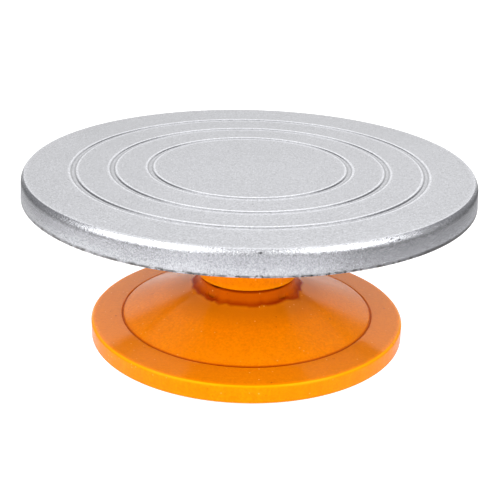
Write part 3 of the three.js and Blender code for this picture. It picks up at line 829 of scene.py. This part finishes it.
def base_outline():
    """The stand's section: underside, pad groove, rim, painted groove, cone, neck and bore."""
    boss_bottom, bore_radius, top_bore_radius = 20, 7.5, 8.6
    under = [
        (bore_radius, boss_bottom, 0.4), (STAND_BOSS_RADIUS, boss_bottom, 1),
        (STAND_BOSS_RADIUS + 1, 36, 2), (28, 36, 2), (40, 28.8, 4), (83.4, 11.5, 3),
        (STAND_INSIDE, 9.7, 2), (STAND_INSIDE, BASE_BOTTOM, 1),
    ]
    inner, outer = PAD_GROOVE
    pad_groove = [
        (inner, BASE_BOTTOM, 0.4), (inner, PAD_GROOVE_TOP),
        (outer, PAD_GROOVE_TOP), (outer, BASE_BOTTOM, 0.4),
    ]
    rim = [(BASE_RADIUS, BASE_BOTTOM, 0.9), (BASE_RADIUS, 11.9, 0.7), (109.1, 13.3, 0.4)]
    groove = [(89.3, 15.25, 0.3), (88.2, 14.2, 0.2), (87.2, 15.95, 0.3)]
    neck = [(*CONE_TOP, 6), (34.8, 37.2, 4), (NECK_RADIUS, NECK_TOP, 1)]
    bore = [(top_bore_radius, NECK_TOP, 0.5), (top_bore_radius, 30), (bore_radius, 30)]

    def longest(r, z):
        by_neck = NECK_RADIUS < r < 44 and z > 31
        by_groove = 86 < r < 91 and z > 13
        by_bevel = r > 105 and z > 10
        return 0.45 if by_neck or by_groove or by_bevel else 2.6

    corners = under + pad_groove + rim + groove + neck + bore
    return divided(rounded(corners, closed=True), longest, closed=True)


def base_skin(r, angle, z):
    """Uneven enamel, the pooled edge round the neck, and the ribs underneath."""
    top = surface_height(r)
    if z > 12.5 and r > NECK_RADIUS and z > top - 1.5:
        up = roughly(r, angle, z, 26, 4) * 0.10 + roughly(r, angle, z, 9, 5) * 0.03
        if r < 46:
            up += 0.2 * held(0.5 + (pool_edge(angle) - r) / 2)
        return 0, up
    rib_bottom = on_line(r, RIB_START, RIB_END)
    if STAND_BOSS_RADIUS < r < STAND_INSIDE + 0.1 and rib_bottom < z < top - 2:
        return 0, -(z - rib_bottom) * rib_share(r, angle)
    return 0, 0


def surface_height(r):
    """About the height of the stand's outer skin at a radius."""
    if r > CONE_FOOT[0]:
        return 15.3 - max(0, r - 89) * 0.1
    if r > CONE_TOP[0]:
        return on_line(r, CONE_FOOT, CONE_TOP)
    return CONE_TOP[1] + CONE_TOP[0] - r


def pooled_and_shaded(x, y, z):
    """1 where the enamel has pooled round the neck, which is painted dark as the shade under the hub, 0
    beyond the pool's edge.
    """
    r = math.hypot(x, y)
    if r > 50 or z < POOL_BOTTOM:
        return 0
    return held(0.5 + (pool_edge(math.atan2(y, x)) - r) / 1.2)


def painted_shade_line(x, y, z):
    """Painted shade: how dark the enamel is painted along the groove, most in front, and along the pool's
    edge.
    """
    r = math.hypot(x, y)
    if r > 50 and z > 13:
        return (0.55 + 0.45 * max(0, -y / r)) * hump(r, 87.95, 0.65)
    if z < POOL_BOTTOM:
        return 0
    behind = pool_edge(math.atan2(y, x)) - r
    share = 0.85 + 0.5 * noise.noise(Vector((x, y, 0)) * 0.09)
    return min(1, share) * hump(behind, 0, 2.8 if behind > 0 else 1.0)


def painted_light_on_base(x, y, z):
    """Painted light: 1 for a painted highlight on the bevel, and below 0 for painted shade on the ledge under
    the plate and on the upper cone near the hub."""
    r = math.hypot(x, y)
    if z < 11.2:
        return 0
    bevel_highlight = hump(r, 109.4, 0.65)
    ledge_shade = -0.42 if 88.2 < r < 109 and z > 12.5 else 0
    upper_cone_shade = -0.9 * held((60 - r) / 15) if z > 26 else 0
    return bevel_highlight + ledge_shade * (1 - bevel_highlight) + upper_cone_shade


def make_base(materials):
    """The stand, with what its enamel needs to know at each point."""
    base = turned("base", base_outline(), rib_angles(84), closed=True, moved=base_skin)
    # Pooled enamel round the neck, painted dark as the shade under the hub.
    with_attribute(base, "pool_and_shade", pooled_and_shaded)
    # Painted shade along the groove and along the pool's edge.
    with_attribute(base, "shade_line", painted_shade_line)
    # Painted highlight on the bevel, and painted shade on the ledge and the upper cone.
    with_attribute(base, "painted_light", painted_light_on_base)
    placed(base, "stand", materials, "base_casting")


def make_pad(materials):
    """The rubber ring, with four tread grooves in its underside."""
    low, high = PAD_LOW[2], PAD_HIGH[2]
    inner, outer = PAD_GROOVE[0] + 0.2, PAD_GROOVE[1] - 0.2
    section = [(inner, high), (inner, low + 0.6), (inner + 0.4, low + 0.2)]
    for r in (98.6, 100.6, 102.6, 104.6):
        groove_top = low + 0.7
        section += [(r, low), (r + 0.7, low), (r + 0.9, groove_top), (r + 1.1, groove_top), (r + 1.3, low)]
    section += [(outer - 0.4, low + 0.2), (outer, low + 0.6), (outer, high)]
    section = divided(section, lambda r, z: 4, closed=True)
    pad = turned("rubber_ring", section, even_angles(180), closed=True)
    placed(pad, "stand", materials, "non_slip_ring")


def threaded(r, angle, z, low, high, crest, pitch, depth):
    """A helical thread cut into a rod between two heights."""
    if r < crest - 0.01 or not low < z < high:
        return 0, 0
    turn = (z / pitch - angle / TURN) % 1
    return -depth * (1 - abs(2 * turn - 1)), 0


def spindle_threads(r, angle, z):
    """The coarse thread for the nut under the stand, and the finer one for the lock nut."""
    if z < 40:
        return threaded(r, angle, z, SPINDLE_LOW + 0.8, 21, LOWER_THREAD_RADIUS, 2, 0.8)
    return threaded(r, angle, z, 96.5, SPINDLE_HIGH - 0.8, UPPER_THREAD_RADIUS, 1.75, 0.7)


def make_spindle(materials):
    """The fixed spindle: threaded ends, a flange on the neck and a shouldered journal."""
    journal, neck, flange, shoulder_top = 8.5, 42, 17, 52
    outline = rounded([
        (0, SPINDLE_LOW), (LOWER_THREAD_RADIUS, SPINDLE_LOW, 0.8), (LOWER_THREAD_RADIUS, 30.1),
        (journal, 30.1), (journal, neck), (flange, neck, 0.4), (flange, 49, 0.5), (11.5, 49, 0.3),
        (11.5, shoulder_top, 0.3), (journal, shoulder_top, 0.2), (journal, 95.5, 0.4),
        (UPPER_THREAD_RADIUS, 95.5), (UPPER_THREAD_RADIUS, SPINDLE_HIGH, 0.8), (0, SPINDLE_HIGH),
    ])

    def longest(r, z):
        lower_thread = abs(r - LOWER_THREAD_RADIUS) < 0.5 and z < 29
        upper_thread = abs(r - UPPER_THREAD_RADIUS) < 0.5 and z > 96
        return 0.35 if lower_thread or upper_thread else 5

    spindle = turned("spindle_rod", divided(outline, longest), even_angles(60), moved=spindle_threads)
    placed(spindle, "stand", materials, "spindle")


def make_base_washer(materials):
    """A plain washer under the stand's boss."""
    low, high = heights("base_washer")
    section = rounded([(7.3, low, 0.2), (14, low, 0.5), (14, high, 0.3), (7.3, high, 0.2)], closed=True)
    washer = turned("washer_under_stand", section, even_angles(96), closed=True)
    placed(washer, "stand", materials, "base_washer")


def make_base_nut(materials):
    """A chamfered hexagon nut under the stand."""
    low, high = heights("base_nut")
    flat = 11
    steps = (0.3, 0.7, 1.2, 1.8)
    levels = [low] + [low + s for s in steps] + [high - s for s in reversed(steps)] + [high]
    section = [(7.1, low + 0.6), (7.7, low)] + [(12.7, z) for z in levels] + [(7.7, high), (7.1, high - 0.6)]

    def hexagonal(r, angle, z):
        if r < 12:
            return 0, 0
        across = flat / math.cos((angle + TURN / 12) % (TURN / 6) - TURN / 12)
        chamfer = flat - 0.5 + min(z - low, high - z) * 1.5
        return min(across, chamfer) - r, 0

    nut = turned("nut_under_stand", section, even_angles(120), closed=True, moved=hexagonal)
    placed(nut, "stand", materials, "base_nut")


# ---- Studio ----


def sideways(tree, across, along):
    """How far to the side a place lies, against how far in front or behind."""
    ahead = calculate(tree, "MAXIMUM", calculate(tree, "ABSOLUTE", along), 0.05)
    return calculate(tree, "DIVIDE", calculate(tree, "ABSOLUTE", across), ahead)


def table_tone(tree, place):
    """A pale table that ends in shade to the sides and at the back left, but not straight behind."""
    across, along, _ = split(tree, place)
    shifted = wire(tree, "VectorMath", {0: place, 1: (0.1, 0, 0)}, operation="ADD").outputs[0]
    radius, _ = near_radius(tree, shifted)
    slant = sideways(tree, across, along)
    leftward = spread(tree, across, -0.15, -0.5)
    bright = product(tree, leftward, spread(tree, along, -0.02, -0.2, 0, 0.6))
    shady = product(tree, leftward, spread(tree, along, -0.05, 0.1, 0, 0.45))
    fading = product(tree, spread(tree, radius, 0.2, 0.4, smooth=True),
                     calculate(tree, "SUBTRACT", 1.0, bright))
    tone = blend(tree, fading, PALE, (0.5, 0.5, 0.51))
    sides = product(tree, spread(tree, radius, 0.46, 0.62, smooth=True),
                    spread(tree, slant, 0.55, 0.9, smooth=True))
    tone = blend(tree, calculate(tree, "MAXIMUM", sides, shady), tone, (0.12, 0.12, 0.12))
    behind = product(tree, spread(tree, along, 0.3, 0.5, smooth=True),
                     spread(tree, slant, 0.55, 0.9, 1, 0, smooth=True))
    return blend(tree, behind, tone, PALE)


def make_floor():
    """A white floor to look at. To light and reflections it is a pale table that ends in shade."""
    bm = bmesh.new()
    bmesh.ops.create_grid(bm, x_segments=8, y_segments=8, size=4)
    floor = finished("floor", bm)
    floor.location.z = FLOOR * MM
    made = bpy.data.materials.new("floor")
    made.use_nodes = True
    tree = made.node_tree
    tree.nodes.clear()
    tone = table_tone(tree, wire(tree, "TexCoord").outputs["Object"])
    reflected = wire(tree, "BsdfDiffuse", {"Color": tone}).outputs[0]
    white = wire(tree, "BsdfDiffuse", {"Color": (0.6, 0.6, 0.6, 1)}).outputs[0]
    glow = wire(tree, "Emission", {"Color": (1, 1, 1, 1), "Strength": 0.8}).outputs[0]
    lit = wire(tree, "AddShader", {0: white, 1: glow}).outputs[0]
    seen = wire(tree, "LightPath").outputs["Is Camera Ray"]
    both = wire(tree, "MixShader", {0: seen, 1: reflected, 2: lit}).outputs[0]
    wire(tree, "OutputMaterial", {"Surface": both})
    floor.data.materials.append(made)


# The studio's brightness by how far up a direction points, from level to straight up.
WORLD_STOPS = ((0.0, 0.8), (0.2, 0.81), (0.36, 0.99), (0.57, 1.35), (1.0, 1.45))


def make_world():
    """A pale studio that is dark to the sides and greyer in front, and white to look at."""
    world = bpy.data.worlds.new("studio")
    bpy.context.scene.world = world
    world.use_nodes = True
    tree = world.node_tree
    tree.nodes.clear()
    across, along, up = split(tree, wire(tree, "TexCoord").outputs["Generated"])
    height = wire(tree, "ValToRGB", {0: up})
    band = height.color_ramp.elements
    for k, (place, level) in enumerate(WORLD_STOPS):
        stop = band[k] if k < 2 else band.new(place)
        stop.position = place
        stop.color = (level, level, level, 1)
    slant = calculate(tree, "SUBTRACT", sideways(tree, across, along), spread(tree, up, 0.3, 0.5, 0.25, 0.0))
    aside = product(tree, spread(tree, slant, 0.30, 0.55, smooth=True), spread(tree, up, 0.7, 0.85, 1.0, 0.0))
    tone = blend(tree, aside, height.outputs[0], (0.23, 0.23, 0.24))
    tone = blend(tree, spread(tree, along, -0.1, 0.2, 1.0, 0.0), tone, (0.66, 0.66, 0.66))
    tone = blend(tree, wire(tree, "LightPath").outputs["Is Camera Ray"], tone, (1, 1, 1))
    glow = wire(tree, "Background", {"Color": tone, "Strength": 1.0})
    wire(tree, "OutputWorld", {"Surface": glow.outputs[0]})


def softbox(name, place, target, width, height, power, mirrored=True):
    """A rectangular light that points at the target. Without mirrored, reflections don't show it."""
    data = bpy.data.lights.new(name, "AREA")
    data.shape = "RECTANGLE"
    data.size, data.size_y = width, height
    data.energy = power
    light = bpy.data.objects.new(name, data)
    bpy.context.scene.collection.objects.link(light)
    light.location = place
    light.rotation_euler = (Vector(target) - Vector(place)).to_track_quat("-Z", "Y").to_euler()
    light.visible_camera = False
    light.visible_glossy = mirrored


def make_lights():
    """Two softboxes for the highlights, and a low front light and two side cards that fill in."""
    middle, stand = (0, 0, 0.06), (0, 0, 0.03)
    softbox("left_softbox", (-0.87, -0.75, 0.86), middle, 1.13, 1.1, 11)
    softbox("right_softbox", (0.905, -0.71, 0.95), middle, 0.72, 0.9, 7.5)
    softbox("low_softbox", (0, -1.65, 0.55), middle, 1.8, 0.3, 11.2, mirrored=False)
    softbox("left_card", (-1.1, -0.3, 0.3), stand, 0.8, 0.3, 1.2, mirrored=False)
    softbox("right_card", (1.1, -0.3, 0.3), stand, 0.8, 0.3, 2, mirrored=False)


def make_camera():
    """The camera, at the photograph's viewing angle."""
    data = bpy.data.cameras.new("camera")
    data.lens = CAMERA_LENS
    data.sensor_width = 36
    camera = bpy.data.objects.new("camera", data)
    bpy.context.scene.collection.objects.link(camera)
    back = Vector((0, -math.cos(CAMERA_ELEVATION), math.sin(CAMERA_ELEVATION)))
    place = Vector((0, 0, PLATE_TOP * MM)) + back * CAMERA_DISTANCE
    aim = (-back).to_track_quat("-Z", "Y").to_matrix().to_4x4()
    tilt = Matrix.Rotation(CAMERA_ROLL, 4, "Z") @ Matrix.Rotation(CAMERA_PITCH, 4, "X")
    camera.matrix_world = Matrix.Translation(place) @ aim @ tilt
    bpy.context.scene.camera = camera


def repaint(materials):
    """Every CAD node that still shows gets the finish of its slot."""
    for name, node in frame["nodes"].items():
        for index in range(len(node.material_slots)):
            node.material_slots[index].link = "OBJECT"
            node.material_slots[index].material = materials[SLOTS[name]]


materials = make_materials()
repaint(materials)
make_camera()
make_world()
make_lights()
make_floor()
for make in (make_plate, make_hub, make_screws, make_base, make_pad, make_spindle, make_base_washer,
             make_base_nut):
    make(materials)

view = bpy.context.scene.view_settings
view.view_transform = "Standard"
view.look = "None"
